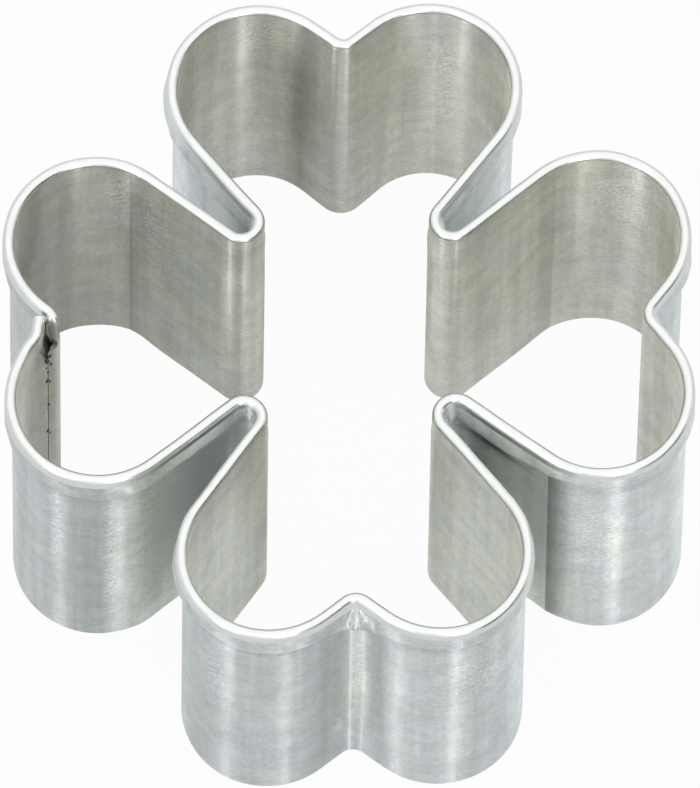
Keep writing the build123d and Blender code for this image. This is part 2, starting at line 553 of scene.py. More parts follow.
def swing_lip(sheet, sizes):
    """How far off the wall and how much higher the lip's lower edge lies beside each vertex."""
    stand, lift = np.zeros((2, len(sheet.along)))
    for x, y, half_width, off, up in HEM_CHANGES:
        near = sheet.near(x, y, half_width)
        stand = np.maximum(stand, off * mm * near)
        lift = np.maximum(lift, up * mm * near)
    for wave, size, phase in BEAD_WAVES:
        turns = 2 * pi * sheet.along / mm / wave
        stand += LIP_WAVER * size * mm * (1 + np.sin(turns + 2 * phase))
        lift += LIP_RISE * size * mm * np.sin(turns + 3 * phase)
    # The lip doesn't stand further out than the whole cutter does. A side of its box that
    # the way out hardly faces sets no limit
    ways = sheet.left[:, :2]
    shoulder = sheet.point[:, :2] + 2 * sizes.bead_radius * ways
    faces = np.where(ways > 0, np.array(cad_box[1])[:2], np.array(cad_box[0])[:2])
    ways = np.where(np.abs(ways) < 0.01, np.nan, ways)
    room = np.nan_to_num((faces - shoulder) / ways, nan=1.0).min(axis=1)
    return np.minimum(stand, np.maximum(room[sheet.ring], 0) + LIP_LEAN), lift


def press_sheet(sheet, sizes, z):
    """How far outwards the whole sheet has moved at each vertex."""
    out = np.zeros(len(z))
    for wave, size, phase, lean in WAVES:
        swing = np.sin(2 * pi * (sheet.along / mm / wave) + phase + lean * z / (10 * mm))
        out += size * mm * (swing - 1)
    for x, y, half_width, height, half_height, depth in DENTS:
        out += depth * mm * sheet.near(x, y, half_width) * hump(z, height * mm, half_height * mm)
    for x, y, half_width, shift in FOOT_SHIFTS:
        out += shift * mm * sheet.near(x, y, half_width) * (1 - np.clip(z / sizes.lip_height, 0, 1))
    for x, y, half_width, depth in CREASES:
        away = np.abs(sheet.along - sheet.nearest(x, y)) / (half_width * mm)
        out += depth * mm * np.clip(1 - away, 0, 1) * ramp(z, *CREASE_HEIGHTS)
    above = z - sizes.lip_height
    to_end = sheet.station.max() - sheet.along
    out -= STEP_DEPTH * ramp(above, *STEP_REACH)
    out -= PLY_PRESS * ramp(to_end, *PLY_PRESS_ALONG) * ramp(above, *PLY_PRESS_UP)
    out -= PLY_CLOSE * hump(to_end, PLY_CLOSE_PLACE, PLY_CLOSE_WIDTH)
    return out + TAB_PRESS * ramp(-sheet.along, 0, TAB_SQUEEZE_REACH[1])


def bend_by_hand(sheet, sizes):
    """Where every vertex lies once bending and welding have moved the sheet."""
    lip_height, bead_height = sizes.lip_height, sizes.bead_height
    x = sheet.x[sheet.spot]
    z = sheet.z[sheet.spot]
    on_lip = (x > sizes.sheet + HAIR) & (z > lip_height - LIP_SLACK) & (z < bead_height)
    stand, lift = swing_lip(sheet, sizes)
    drop = np.clip((bead_height - z) / (bead_height - lip_height), 0, 1)
    x += np.where(on_lip, stand * drop**LIP_CURL, 0)
    z += np.where(on_lip, lift * drop, 0)
    shoulder = ramp(x, 0, 2 * sizes.bead_radius) * ramp(z, bead_height - SHOULDER_REACH, bead_height)
    for wave, size, phase in BEAD_WAVES:
        push = size * mm * (1 + np.sin(2 * pi * sheet.along / mm / wave + phase)) / 2
        x -= push * shoulder
        z -= push * shoulder * SHOULDER_SINK
    out = press_sheet(sheet, sizes, z)
    kept = HEM_TAPER_SHARE + (1 - HEM_TAPER_SHARE) * ramp(sheet.along, *HEM_TAPER)
    x = np.where(x > sizes.sheet, sizes.sheet + (x - sizes.sheet) * kept, x)
    z = np.where(z > lip_height, lip_height + (z - lip_height) * kept, z)
    x *= 1 - TAB_SQUEEZE * ramp(-sheet.along, *TAB_SQUEEZE_REACH)
    places = sheet.point[sheet.ring] + (x + out)[:, None] * sheet.left[sheet.ring]
    places[:, 2] = z
    for near_x, near_y, half_width, way_x, way_y, off in NOTCH_BRIDGES:
        push = off * mm * sheet.near(near_x, near_y, half_width) * drop**BRIDGE_CURL * on_lip
        places += push[:, None] * np.array((way_x, way_y, 0))
    return places


# Where the tin looks different from the rest: place x and y, side of the sheet, half width along the
# strip, height and half height in millimetres, by what shares it is brighter and yellower, and how
# much scuffing it has. The brighter share is painted light and shade, the yellower share moves the
# colour towards the inside's warmer painted reflection tint, and the scuffing gives relief, scratches
# and painted highlight specks
PAINTED_LIGHT_AND_WEAR = [
    (-8.9, 13.8, "in", 2.4, 11, 14, -0.30, 0, 0),
    (-2.3, 17.4, "in", 0.75, 11, 14, -0.42, 0, 0),
    (3.4, 17.9, "in", 2.6, 11, 14, 0.16, 0, 0),
    (5.5, 18.0, "in", 1.0, 14, 7, 0.06, 0, 0.8),
    (-4.0, 17.9, "in", 2.5, 19.5, 2, 0.0, 0, 0.6),
    (-16.8, 7.8, "in", 2.8, 11, 14, -0.34, 0, 0),
    (-12.6, 9.1, "in", 0.8, 18.5, 3, 0.10, 0, 1),
    (-10.7, 8.0, "in", 1.4, 17.5, 3.5, 0.0, -0.3, 0.8),
    (-8.8, 6.6, "in", 1.6, 13, 5, 0.04, -0.6, 0.1),
    (-10.2, 7.7, "in", 1.8, 12, 12, 0.10, 0, 0.2),
    (-5.8, 4.9, "in", 2.6, 12, 12, 0.20, 0, 0),
    (-6.4, 4.8, "in", 0.35, 15, 4, 0.30, 0, 0.8),
    (5.0, 5.1, "in", 0.4, 19.3, 1.2, 0.25, 0, 1),
    (4.9, 4.8, "in", 0.2, 12.5, 5, 0.20, 0, 0.8),
    (13.5, 9.3, "in", 1.6, 11, 14, -0.08, 0, 0),
    (16.8, 7.6, "in", 1.8, 11, 14, -0.16, 0, 0.3),
    (15.2, 9.0, "in", 1.6, 17.5, 3.5, 0.06, 0, 0.9),
    (-17.9, -6.5, "in", 3.0, 11, 14, 0.14, 0, 0),
    (-6.6, -9.5, "in", 3.6, 11, 14, 0.36, -0.5, 0),
    (7.0, -10.0, "in", 3.6, 11, 14, 0.16, -0.5, 0),
    (-13.8, 9.0, "in", 5.0, 0, 7, -0.14, 0, 0),
    (0.0, 17.0, "in", 9.0, 0, 4, -0.08, 0, 0),
    (-8.3, 10.8, "out", 3.2, 11, 14, 0.34, 0, 0),
    (-6.4, 8.6, "out", 1.6, 16, 12, 0.60, 0, 0),
    (8.3, 10.8, "out", 3.0, 11, 14, 0.10, 0.2, 0),
    (-14.0, -9.2, "out", 2.0, 11, 14, -0.18, 0, 0),
    (-17.3, -7.6, "out", 1.2, 11, 14, 0.06, 0, 0),
    (-15.8, -8.9, "out", 0.35, 14, 7, 0.08, 0, 0.9),
    (-12.9, -9.4, "out", 0.35, 12, 8, 0.08, 0, 0.9),
    (-10.8, -8.5, "out", 2.0, 11, 14, 0.30, 0.8, 0.5),
    (-8.0, -6.4, "out", 2.6, 12, 14, 0.78, 0.8, 0.4),
    (-7.4, -17.4, "out", 0.8, 14, 4, 0.03, 0, 0.7),
    (-1.5, -17.3, "out", 0.8, 11, 14, -0.16, 0, 0),
    (0.3, -16.4, "out", 1.2, 12, 8, 0.02, 0.3, 0.2),
    (0.45, -16.3, "out", 0.4, 14, 9, 0.14, 0.2, 0.4),
    (-0.7, -16.7, "out", 0.3, 4.6, 0.7, 0.30, 0, 1),
    (1.35, -17.1, "out", 0.6, 11, 14, -0.28, 0, 0),
    (7.0, -17.8, "out", 2.0, 15, 4, 0.0, 0.2, 0.8),
    (8.6, -15.6, "out", 2.0, 11, 14, 0.14, 0, 0),
    (9.4, -7.2, "out", 2.8, 11, 14, 0.30, 1.0, 0.3),
    (7.8, -5.8, "out", 2.0, 17.9, 0.5, -1.0, 0, 0),
    (13.5, -9.4, "out", 1.6, 13, 5, 0.0, 0.3, 0.7),
    (18.0, -7.0, "out", 3.2, 11, 14, 0.10, 0.3, 0),
    (15.0, -9.3, "out", 1.4, 11, 14, -0.06, 0, 0),
]

# Painted shade on the wall below the lip, where the lip's edge shades it: by what share darker, how
# far below the lip's edge, and half height
HEM_PAINTED_SHADE = 0.16
HEM_PAINTED_SHADE_DROP = 1.0 * mm
HEM_PAINTED_SHADE_HEIGHT = 0.35 * mm


def store_painted_light_and_wear(piece, sheet, sizes):
    """Stores at each vertex the painted light and shade, the painted warm tint and the scuffing with
    its painted highlight specks.
    """
    x = sheet.x[sheet.spot]
    z = sheet.z[sheet.spot]
    inside = x < sizes.sheet / 2
    painted_light_and_wear = np.stack((np.ones(len(x)), inside * 1.0, np.zeros(len(x))), axis=1)
    # Painted light and shade, painted warm tint and scuffing, place by place
    for near_x, near_y, side, half_width, height, half_height, *changes in PAINTED_LIGHT_AND_WEAR:
        near = sheet.near(near_x, near_y, half_width) * hump(z, height * mm, half_height * mm)
        painted_light_and_wear += (near * (inside == (side == "in")))[:, None] * np.array(changes)
    # Painted shade on the outer wall just below the lip's edge
    on_wall = ~inside & (x < sizes.sheet + HAIR) & (z < sizes.lip_height)
    painted_light_and_wear[:, 0] -= HEM_PAINTED_SHADE * on_wall * hump(z, sizes.lip_height - HEM_PAINTED_SHADE_DROP, HEM_PAINTED_SHADE_HEIGHT)
    stored = piece.data.attributes.new("painted_light_and_wear", "FLOAT_VECTOR", "POINT")
    stored.data.foreach_set("vector", painted_light_and_wear.reshape(-1))


def wrap_sheet(piece, sheet):
    """UV map: U runs along the strip and V round its section, both from 0 to 1."""
    along = (sheet.along - sheet.station.min()) / sheet.length
    across = sheet.round[sheet.spot] / sheet.outline
    corners = [loop.vertex_index for loop in piece.data.loops]
    u, v = along[corners], across[corners]
    # A face that V closes on runs past 1, and not back across the whole map
    for face in piece.data.polygons:
        loops = list(face.loop_indices)
        if v[loops].max() - v[loops].min() > 0.5:
            v[loops] = np.where(v[loops] < 0.5, v[loops] + 1, v[loops])
    for layer in list(piece.data.uv_layers):
        piece.data.uv_layers.remove(layer)
    layer = piece.data.uv_layers.new(name="strip")
    layer.data.foreach_set("uv", np.stack((u, v), axis=1).reshape(-1))


# How far down the lip the bead's material, with its painted highlight, reaches
RIM_HIGHLIGHT_DEPTH = 0.62 * mm


def mark_finishes(piece, sheet, sizes):
    """Gives the second material to the edges that were cut, which are the foot, the lip's
    edge, both ends and the tab's top, and the third to the bead and the lip's upper part."""
    bead_end = sizes.bead_height + pi * sizes.bead_radius + RIM_HIGHLIGHT_DEPTH
    # A little more than the rounding takes
    rounding = CORNER_ROUND * 1.1
    for face in piece.data.polygons:
        corners = list(face.vertices)
        spots = sheet.spot[corners]
        highest = sheet.z[spots].max()
        one_ring = len(set(sheet.ring[corners])) == 1
        on_lip = sheet.x[spots].min() > sizes.sheet + HAIR
        lip_edge = on_lip and highest < sizes.lip_height + rounding
        on_tab = sheet.along[corners].min() < -HAIR
        tab_top = on_tab and abs(face.normal.z) > 0.7 and face.center.z > sizes.sheet
        way_round = sheet.round[spots]
        if one_ring or highest < rounding or lip_edge or tab_top:
            face.material_index = 1
        elif way_round.min() > sizes.bead_height - HAIR and way_round.max() < bead_end:
            face.material_index = 2


class CUTTER_OT_strip(Operator):
    """Bends the strip of tinplate into four hearts"""

    bl_idname = "cutter.strip"
    bl_label = "Tinplate strip"

    def execute(self, context):
        sizes = context.scene.cutter_strip
        bends, runs = strip_line(sizes)
        start_turn = heading(bends[0].centre, runs[0].start) - INNER_PLY_TURN
        start = Ring(0, bends[0].centre + toward(start_turn) * INNER_PLY_RADIUS, -toward(start_turn))
        piece = draw_section(sizes, start)
        piece.name = "tinplate_strip"
        section = np.array([vertex.co for vertex in piece.data.vertices])
        beside = outline_neighbours(piece)
        rings = sweep_section(piece, sizes, bends, runs, start)
        tab_rings = sweep_tab(piece, sizes, bends[0], start)
        sheet = Sheet(piece, section, beside, rings, tab_rings)
        piece.data.vertices.foreach_set("co", bend_by_hand(sheet, sizes).reshape(-1))
        piece.data.update()
        wrap_sheet(piece, sheet)
        store_painted_light_and_wear(piece, sheet, sizes)
        mark_finishes(piece, sheet, sizes)
        select(piece, "FACE", lambda face: True)
        bpy.ops.mesh.normals_make_consistent(inside=False)
        bpy.ops.object.mode_set(mode="OBJECT")
        bpy.ops.object.shade_smooth_by_angle(angle=radians(38))
        colours = context.scene.cutter_finish
        finishes = tinplate(colours, sheet, sizes), sheared_edge(colours), rim_painted_highlight(colours, sheet)
        for finish in finishes:
            piece.data.materials.append(finish)
        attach(piece, "root")
        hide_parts("cutter_strip")
        return {"FINISHED"}


# Spot welds, one above the other between the tab and the outer ply
WELD_COUNT = 3
WELD_RADIUS = 0.36 * mm
WELD_LENGTH = 0.26 * mm
WELD_EDGE_DISTANCE = 0.5 * mm
WELD_END_DISTANCE = 3.6 * mm
# Each end of a nugget has a raised button: distance from its rim and height
BUTTON_INSET = WELD_RADIUS / 4
BUTTON_HEIGHT = WELD_LENGTH / 8
BUTTON_ROUND = WELD_RADIUS / 12

# Specks of metal that the current threw out along the tab's edge: height, place beside the
# edge and radius in millimetres, and how much longer than wide they froze
SPECKS = [
    (19.7, -0.10, 0.13),
    (19.1, 0.06, 0.16),
    (18.5, -0.16, 0.12),
    (18.3, 0.14, 0.09),
    (17.6, 0.02, 0.10),
    (16.5, 0.08, 0.13),
    (16.2, -0.10, 0.10),
    (13.1, -0.02, 0.11),
    (12.6, 0.07, 0.07),
    (9.5, 0.06, 0.12),
    (9.0, -0.12, 0.09),
    (3.4, 0.05, 0.14),
    (2.8, -0.11, 0.12),
    (2.2, 0.10, 0.08),
]
SPECK_LENGTH_SHARE = 1.6


class CUTTER_OT_welds(Operator):
    """Welds the seam: three nuggets between the sheets, and specks along the edge"""

    bl_idname = "cutter.welds"
    bl_label = "Spot welds"

    def execute(self, context):
        sizes = context.scene.cutter_strip
        bends, runs = strip_line(sizes)
        centre = bends[0].centre
        tab_end = heading(centre, runs[0].start) - INNER_PLY_TURN - TAB_TURN
        weld_turn = tab_end + WELD_EDGE_DISTANCE / INNER_PLY_RADIUS
        foot = centre + toward(weld_turn) * (INNER_PLY_RADIUS - sizes.sheet)
        axis = runs[-1].left
        nuggets = start_from(
            bpy.ops.mesh.primitive_cylinder_add,
            vertices=24,
            radius=WELD_RADIUS,
            depth=WELD_LENGTH,
            location=foot + Vector((0, 0, WELD_END_DISTANCE)),
            rotation=axis.to_track_quat("Z", "Y").to_euler(),
        )
        select(nuggets, "FACE", lambda face: abs(face.normal.dot(axis)) > 0.9)
        bpy.ops.mesh.inset(thickness=BUTTON_INSET, depth=BUTTON_HEIGHT, use_individual=True)
        bpy.ops.mesh.bevel(offset=BUTTON_ROUND, segments=2, affect="EDGES")
        rise = (sizes.lip_height - 2 * WELD_END_DISTANCE) / (WELD_COUNT - 1)
        bpy.ops.object.mode_set(mode="OBJECT")
        copies = []
        for _ in range(1, WELD_COUNT):
            bpy.ops.object.duplicate()
            bpy.ops.transform.translate(value=(0, 0, rise))
            copies.append(context.object)
        join(nuggets, copies)
        # A speck is a drop that froze on the tab's edge, drawn out along it
        edge = centre + toward(tab_end) * (INNER_PLY_RADIUS - sizes.sheet / 5)
        beside = toward(tab_end - pi / 2)
        specks = []
        for height, aside, radius in SPECKS:
            speck = start_from(
                bpy.ops.mesh.primitive_uv_sphere_add,
                segments=12,
                ring_count=8,
                radius=radius * mm,
                location=edge + beside * aside * mm + Vector((0, 0, height * mm)),
            )
            bpy.ops.object.mode_set(mode="EDIT")
            bpy.ops.transform.resize(value=(1, 1, SPECK_LENGTH_SHARE))
            bpy.ops.transform.vertex_random(offset=radius * mm / 4, seed=int(height * 10))
            specks.append(speck)
        join(nuggets, specks)
        nuggets.name = "spot_welds"
        bpy.ops.object.transform_apply(location=True, rotation=True, scale=True)
        bpy.ops.object.shade_smooth_by_angle(angle=radians(50))
        nuggets.data.materials.clear()
        nuggets.data.materials.append(weld_steel(context.scene.cutter_finish))
        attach(nuggets, "root")
        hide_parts("seam_spot_welds")
        return {"FINISHED"}


# Materials
def add(tree, kind, inputs=None, **settings):
    """Adds a node with its settings, and links or sets its inputs. A node stands for its
    first output."""
    node = tree.nodes.new(f"ShaderNode{kind}")
    for name, value in settings.items():
        setattr(node, name, value)
    for name, value in (inputs or {}).items():
        if isinstance(value, bpy.types.Node):
            value = value.outputs[0]
        if isinstance(value, bpy.types.NodeSocket):
            tree.links.new(value, node.inputs[name])
        else:
            node.inputs[name].default_value = value
    return node


def blank(name):
    material = bpy.data.materials.new(name)
    material.use_nodes = True
    material.node_tree.nodes.clear()
    return material, material.node_tree


def metal(material, surface):
    """Finishes a material as metal with that surface."""
    shader = add(material.node_tree, "BsdfPrincipled", {"Metallic": 1.0, **surface})
    add(material.node_tree, "OutputMaterial", {"Surface": shader})
    return material


def sheet_place(tree, sheet):
    """Place on the sheet in millimetres: along the strip and round its section."""
    scale = (sheet.length / mm, sheet.outline / mm, 1)
    return add(tree, "Mapping", {"Vector": add(tree, "TexCoord").outputs["UV"], "Scale": scale})


# Noise hardly ever leaves these bounds
NOISE_BOUNDS = 0.3, 0.7


def marks(tree, place, along, across, low, high, turn=0.0, bounds=NOISE_BOUNDS, detail=3.0):
    """Patches that long along and across the strip, in millimetres, from low to high."""
    seat = add(
        tree,
        "Mapping",
        {"Vector": place, "Rotation": (0, 0, turn), "Scale": (along, across, 1)},
        vector_type="TEXTURE",
    )
    noise = add(
        tree,
        "TexNoise",
        {"Vector": seat, "Scale": 1.0, "Detail": detail, "Roughness": 0.6},
        noise_dimensions="2D",
    )
    return add(
        tree,
        "MapRange",
        {"Value": noise, "From Min": bounds[0], "From Max": bounds[1], "To Min": low, "To Max": high},
    )


# Way that the scratches run across the strip
SCRATCH_TURN = radians(38)
# Painted shade towards the left leaf, where both ends of the strip meet: shares of the strip's length
# from its middle where it starts to be duller and is dullest, and how bright it is there
PAINTED_LEFT_SHADE = (0.12, 1.03), (0.36, 0.84)
# Relief of the tin for each part of the rolling lines, the scratches and the scuffs
LINE_RELIEF = 8.0
SCRATCH_RELIEF = -0.8
SCUFF_RELIEF = 1.6

# Painted shade beside creases, as a sharp step of the colour to a duller band: place x and y, side of
# the sheet, the way along the strip that the duller band lies, its width in millimetres and how much
# duller
CREASE_SHADES = [
    (-11.7, 8.65, "in", 1, 1.8, -0.18),
    (-11.7, 8.65, "in", 1, 0.3, -0.16),
    (11.3, 8.75, "in", -1, 2.6, -0.15),
    (10.65, -8.2, "out", -1, 1.4, -0.52),
    (-5.6, 8.0, "in", -1, 0.5, -0.08),
    (5.2, 18.1, "in", 1, 1.6, -0.10),
]


def tinplate(colours, sheet, sizes):
    """Tinplate, cold rolled and bright tinned: the rolls leave fine lines along the strip,
    which draw every reflection out across them."""
    material, tree = blank("tinplate_cold_rolled_bright")
    place = sheet_place(tree, sheet)
    spot = add(tree, "SeparateXYZ", {"Vector": place})
    # The rolling lines and the scratches are finer than this on real sheet
    lines = marks(tree, place, 5, 0.2, 0.985, 1.015, detail=1.0)
    columns = marks(tree, place, 0.9, 26, 0.92, 1.07)
    patches = marks(tree, place, 2.0, 1.6, 0.92, 1.07)
    mottle = marks(tree, place, 0.34, 0.26, 0.94, 1.06, detail=1.0)
    scratches = marks(tree, place, 1.8, 0.05, 0.0, 1.0, SCRATCH_TURN, (0.62, 0.70), 0.0)
    # Painted highlight specks: where there is scuffing, bright specks are painted into the colour,
    # and the same specks give the scuffing its relief
    # Painted light and shade, painted warm tint and scuffing, as stored on each vertex
    painted_light_and_wear = add(tree, "Attribute", attribute_name="painted_light_and_wear").outputs["Vector"]
    painted_light_and_wear_parts = add(tree, "SeparateXYZ", {"Vector": painted_light_and_wear})
    painted_glints = marks(tree, place, 0.22, 0.12, -0.06, 0.7, bounds=(0.5, 0.75), detail=2.0)
    scrapes = marks(tree, place, 2.4, 0.09, -0.05, 0.3, SCRATCH_TURN, (0.5, 0.7), 1.0)
    painted_glints_and_scuffs, scraped = (
        add(tree, "Math", {0: spots, 1: painted_light_and_wear_parts.outputs["Z"], 2: 1.0}, operation="MULTIPLY_ADD")
        for spots in (painted_glints, scrapes)
    )
    # Painted shade: the colour is darker towards both ends of the strip, which meet in the left
    # notch, so the left leaf is darker than the right
    length_mm = sheet.length / mm
    middle = add(tree, "Math", {0: spot.outputs["X"], 1: length_mm / 2}, operation="SUBTRACT")
    aside = add(tree, "Math", {0: middle}, operation="ABSOLUTE")
    (near, bright), (far, dim) = PAINTED_LEFT_SHADE
    reach = {"From Min": near * length_mm, "From Max": far * length_mm}
    left_shade = {"Value": aside, **reach, "To Min": bright, "To Max": dim}
    shade = add(tree, "MapRange", left_shade, interpolation_type="SMOOTHSTEP")
    # The inside ends where the bead starts, and the outside's wall starts below the hem
    wall_start = (sheet.outline - sizes.sheet - sizes.lip_height) / mm
    limits = {
        "in": {0: sizes.bead_height / mm, 1: spot.outputs["Y"]},
        "out": {0: spot.outputs["Y"], 1: wall_start},
    }
    sides = {side: add(tree, "Math", pair, operation="GREATER_THAN") for side, pair in limits.items()}
    # Painted shade beside each of the creases listed above
    for x, y, side, way, width, change in CREASE_SHADES:
        station = (sheet.nearest(x, y) - sheet.station.min()) / mm
        steps = {0: spot.outputs["X"], 1: way, 2: -way * station}
        past = add(tree, "Math", steps, operation="MULTIPLY_ADD")
        there = add(tree, "Math", {0: past, 1: 0.0}, operation="GREATER_THAN")
        there = add(tree, "Math", {0: there, 1: sides[side]}, operation="MULTIPLY")
        fade = {"From Min": 0.0, "From Max": width, "To Min": change, "To Max": 0.0}
        fall = add(tree, "MapRange", {"Value": past, **fade}, interpolation_type="SMOOTHSTEP")
        painted_crease_shade = add(tree, "Math", {0: fall, 1: there, 2: 1.0}, operation="MULTIPLY_ADD")
        shade = add(tree, "Math", {0: shade, 1: painted_crease_shade}, operation="MULTIPLY")
    # The colour's shade multiplies the painted left shade, the painted crease shades, the painted
    # light and shade per vertex, random tone and the painted highlight specks with the scuffing
    for part in (painted_light_and_wear_parts.outputs["X"], lines, columns, patches, mottle, painted_glints_and_scuffs, scraped):
        shade = add(tree, "Math", {0: shade, 1: part}, operation="MULTIPLY")
    # Painted reflection tint: the inside is warmer and brighter than the outside, and random patches
    # and the yellower share per vertex shift the tint
    stains = marks(tree, place, 5, 6, -0.4, 0.4)
    yellow = add(tree, "Math", {0: painted_light_and_wear_parts.outputs["Y"], 1: stains}, use_clamp=True)
    tones = {0: yellow, 6: (*colours.outer_tin_cool_reflection, 1), 7: (*colours.inner_tin_warm_reflection, 1)}
    tin = add(tree, "Mix", tones, data_type="RGBA")
    tinted = add(tree, "VectorMath", {0: tin.outputs[2], 1: shade}, operation="MULTIPLY")
    # Rolling lines, the unevenness of the tin, scratches and scuffs, as a height
    height = marks(tree, place, 0.45, 0.5, 0.0, 1.0, detail=2.0)
    for part, relief in ((lines, LINE_RELIEF), (scratches, SCRATCH_RELIEF), (painted_glints_and_scuffs, SCUFF_RELIEF)):
        height = add(tree, "Math", {0: part, 1: relief, 2: height}, operation="MULTIPLY_ADD")
    surface = {
        "Base Color": tinted,
        "Roughness": marks(tree, place, 3.5, 5, 0.31, 0.38, detail=4.0),
        "Anisotropic": 1.0,
        "Anisotropic Rotation": 0.25,
        "Normal": add(tree, "Bump", {"Height": height, "Strength": 0.5, "Distance": 0.010 * mm}),
        "Tangent": add(tree, "Tangent", direction_type="UV_MAP", uv_map="strip"),
    }
    return metal(material, surface)


def rim_painted_highlight(colours, sheet):
    """Tinplate of the bead and the lip's upper part: smoother, with a brighter colour that is a
    painted highlight, and faint bruises where it was folded."""
    material, tree = blank("tinplate_rim_painted_highlight")
    place = sheet_place(tree, sheet)
    bruises = marks(tree, place, 1.2, 0.3, 0.95, 1.02)
    tone = tuple(colours.rim_painted_highlight)
    surface = {
        "Base Color": add(tree, "VectorMath", {0: tone, 1: bruises}, operation="MULTIPLY"),
        "Roughness": marks(tree, place, 2.0, 0.6, 0.26, 0.34),
        "Normal": add(tree, "Bump", {"Height": bruises, "Strength": 0.5, "Distance": 0.1 * mm}),
    }
    return metal(material, surface)


def bare_steel(name, tone, grain_size, detail, tones, dulls, relief, depth):
    """Mild steel without its tin. Its grain, with its size and depth in millimetres, varies
    its tone, its gloss and its height."""
    material, tree = blank(name)
    place = add(tree, "TexCoord").outputs["Object"]
    size = {"Scale": 1 / (grain_size * mm), "Detail": detail}
    grain = add(tree, "TexNoise", {"Vector": place, **size})
    low, high = NOISE_BOUNDS
    grain_reach = {"Value": grain, "From Min": low, "From Max": high}
    tint, dull = (
        add(tree, "MapRange", {**grain_reach, "To Min": least, "To Max": most})
        for least, most in (tones, dulls)
    )
    surface = {
        "Base Color": add(tree, "VectorMath", {0: tuple(tone), 1: tint}, operation="MULTIPLY"),
        "Roughness": dull,
        "Normal": add(tree, "Bump", {"Height": grain, "Strength": relief, "Distance": depth * mm}),
    }
    return metal(material, surface)


def sheared_edge(colours):
    """Mild steel core of the tinplate, bare and matt where the shears cut it."""
    name, tone = "steel_sheared_bare", colours.cut_edge
    return bare_steel(name, tone, 0.12, 2.0, (0.7, 1.15), (0.35, 0.55), relief=0.4, depth=0.02)


def weld_steel(colours):
    """Mild steel, greyed and roughened by the heat of the welding current."""
    name, tone = "weld_steel_heated", colours.weld
    return bare_steel(name, tone, 0.2, 4.0, (0.75, 1.15), (0.4, 0.7), relief=0.5, depth=0.03)


def seen_share(tree, camera, mirrored):
    """How much of the background's own tone a ray sees: straight from the camera, or in
    metal and through glass, which keep more of the light and shadow on it."""
    rays = add(tree, "LightPath").outputs
    mirrors = {0: rays["Is Glossy Ray"], 1: rays["Is Transmission Ray"]}
    both = add(tree, "Math", mirrors, operation="MAXIMUM")
    seen = add(tree, "Math", {0: both, 1: mirrored}, operation="MULTIPLY")
    direct = add(tree, "Math", {0: rays["Is Camera Ray"], 1: camera}, operation="MULTIPLY")
    return add(tree, "Math", {0: seen, 1: direct}, operation="MAXIMUM")


def seen_tone(tree, mirrored):
    """White to the camera, and a cooler tone in metal."""
    straight = add(tree, "LightPath").outputs["Is Camera Ray"]
    tones = {0: straight, 6: (*linear(mirrored), 1), 7: (1, 1, 1, 1)}
    return add(tree, "Mix", tones, data_type="RGBA").outputs[2]


def table_white():
    """White laminate table: its own white, with a small share of light left to shadows."""
    material, tree = blank("table_laminate_white")
    place = add(tree, "TexCoord").outputs["Object"]
    grain = add(tree, "TexNoise", {"Vector": place, "Scale": 400.0})
    rough = add(tree, "MapRange", {"Value": grain, "To Min": 0.7, "To Max": 0.8})
    surface = {"Base Color": (0.8, 0.8, 0.8, 1), "Roughness": rough, "Specular IOR Level": 0.1}
    matt = add(tree, "BsdfPrincipled", surface)
    glow = add(tree, "Emission", {"Color": seen_tone(tree, "#F0F4F6"), "Strength": 1.0})
    both = add(tree, "MixShader", {0: seen_share(tree, 0.96, 0.6), 1: matt, 2: glow})
    add(tree, "OutputMaterial", {"Surface": both})
    return material


def card_black():
    """Black card, as photographers stand round metal to give it dark lines."""
    material, tree = blank("card_black")
    shader = add(tree, "BsdfPrincipled", {"Base Color": (0.02, 0.02, 0.02, 1), "Roughness": 0.9})
    add(tree, "OutputMaterial", {"Surface": shader})
    return material


# The camera looks down at the cutter through a long lens, from its front
CAMERA_ELEVATION = radians(66.95)
CAMERA_AZIMUTH = radians(-1.8)
CAMERA_ROLL = radians(1.1)
CAMERA_DISTANCE = 1.648
CAMERA_ASIDE = (0.247 * mm, 4.396 * mm)
CAMERA_LENS = 1370


def aim_camera():
    east, height = CAMERA_AZIMUTH, CAMERA_ELEVATION
    across = Vector((cos(east), sin(east), 0))
    ahead = Vector((-sin(east) * cos(height), cos(east) * cos(height), -sin(height)))
    above = across.cross(ahead)
    right = across * cos(CAMERA_ROLL) + above * sin(CAMERA_ROLL)
    up = above * cos(CAMERA_ROLL) - across * sin(CAMERA_ROLL)
    place = right * CAMERA_ASIDE[0] + up * CAMERA_ASIDE[1] - ahead * CAMERA_DISTANCE
    data = bpy.data.cameras.new("camera")
    data.lens = CAMERA_LENS
    data.sensor_width = 36
    data.clip_start = 0.1
    data.clip_end = 20
    camera = bpy.data.objects.new("camera", data)
    bpy.context.scene.collection.objects.link(camera)
    frame_of_view = Matrix((right, up, -ahead)).transposed().to_4x4()
    camera.matrix_world = Matrix.Translation(place) @ frame_of_view
    bpy.context.scene.camera = camera


def softbox(name, place, aim, width, height, radiance):
    """A lamp that adds that radiance to what the metal mirrors behind it."""
    data = bpy.data.lights.new(name, "AREA")
    data.shape = "RECTANGLE"
    data.size = width
    data.size_y = height
    data.energy = radiance * pi * width * height
    lamp = bpy.data.objects.new(name, data)
    bpy.context.scene.collection.objects.link(lamp)
    lamp.location = place
    lamp.rotation_euler = (Vector(aim) - Vector(place)).to_track_quat("-Z", "Y").to_euler()
    lamp.visible_camera = False
    return lamp


FLOOR_RADIUS = 3

# Softbox over the table: place, side and how bright it shows
OVERHEAD_PLACE = Vector((0, 0.3, 1.1))
OVERHEAD_SIDE = 3.0
OVERHEAD_RADIANCE = 0.35

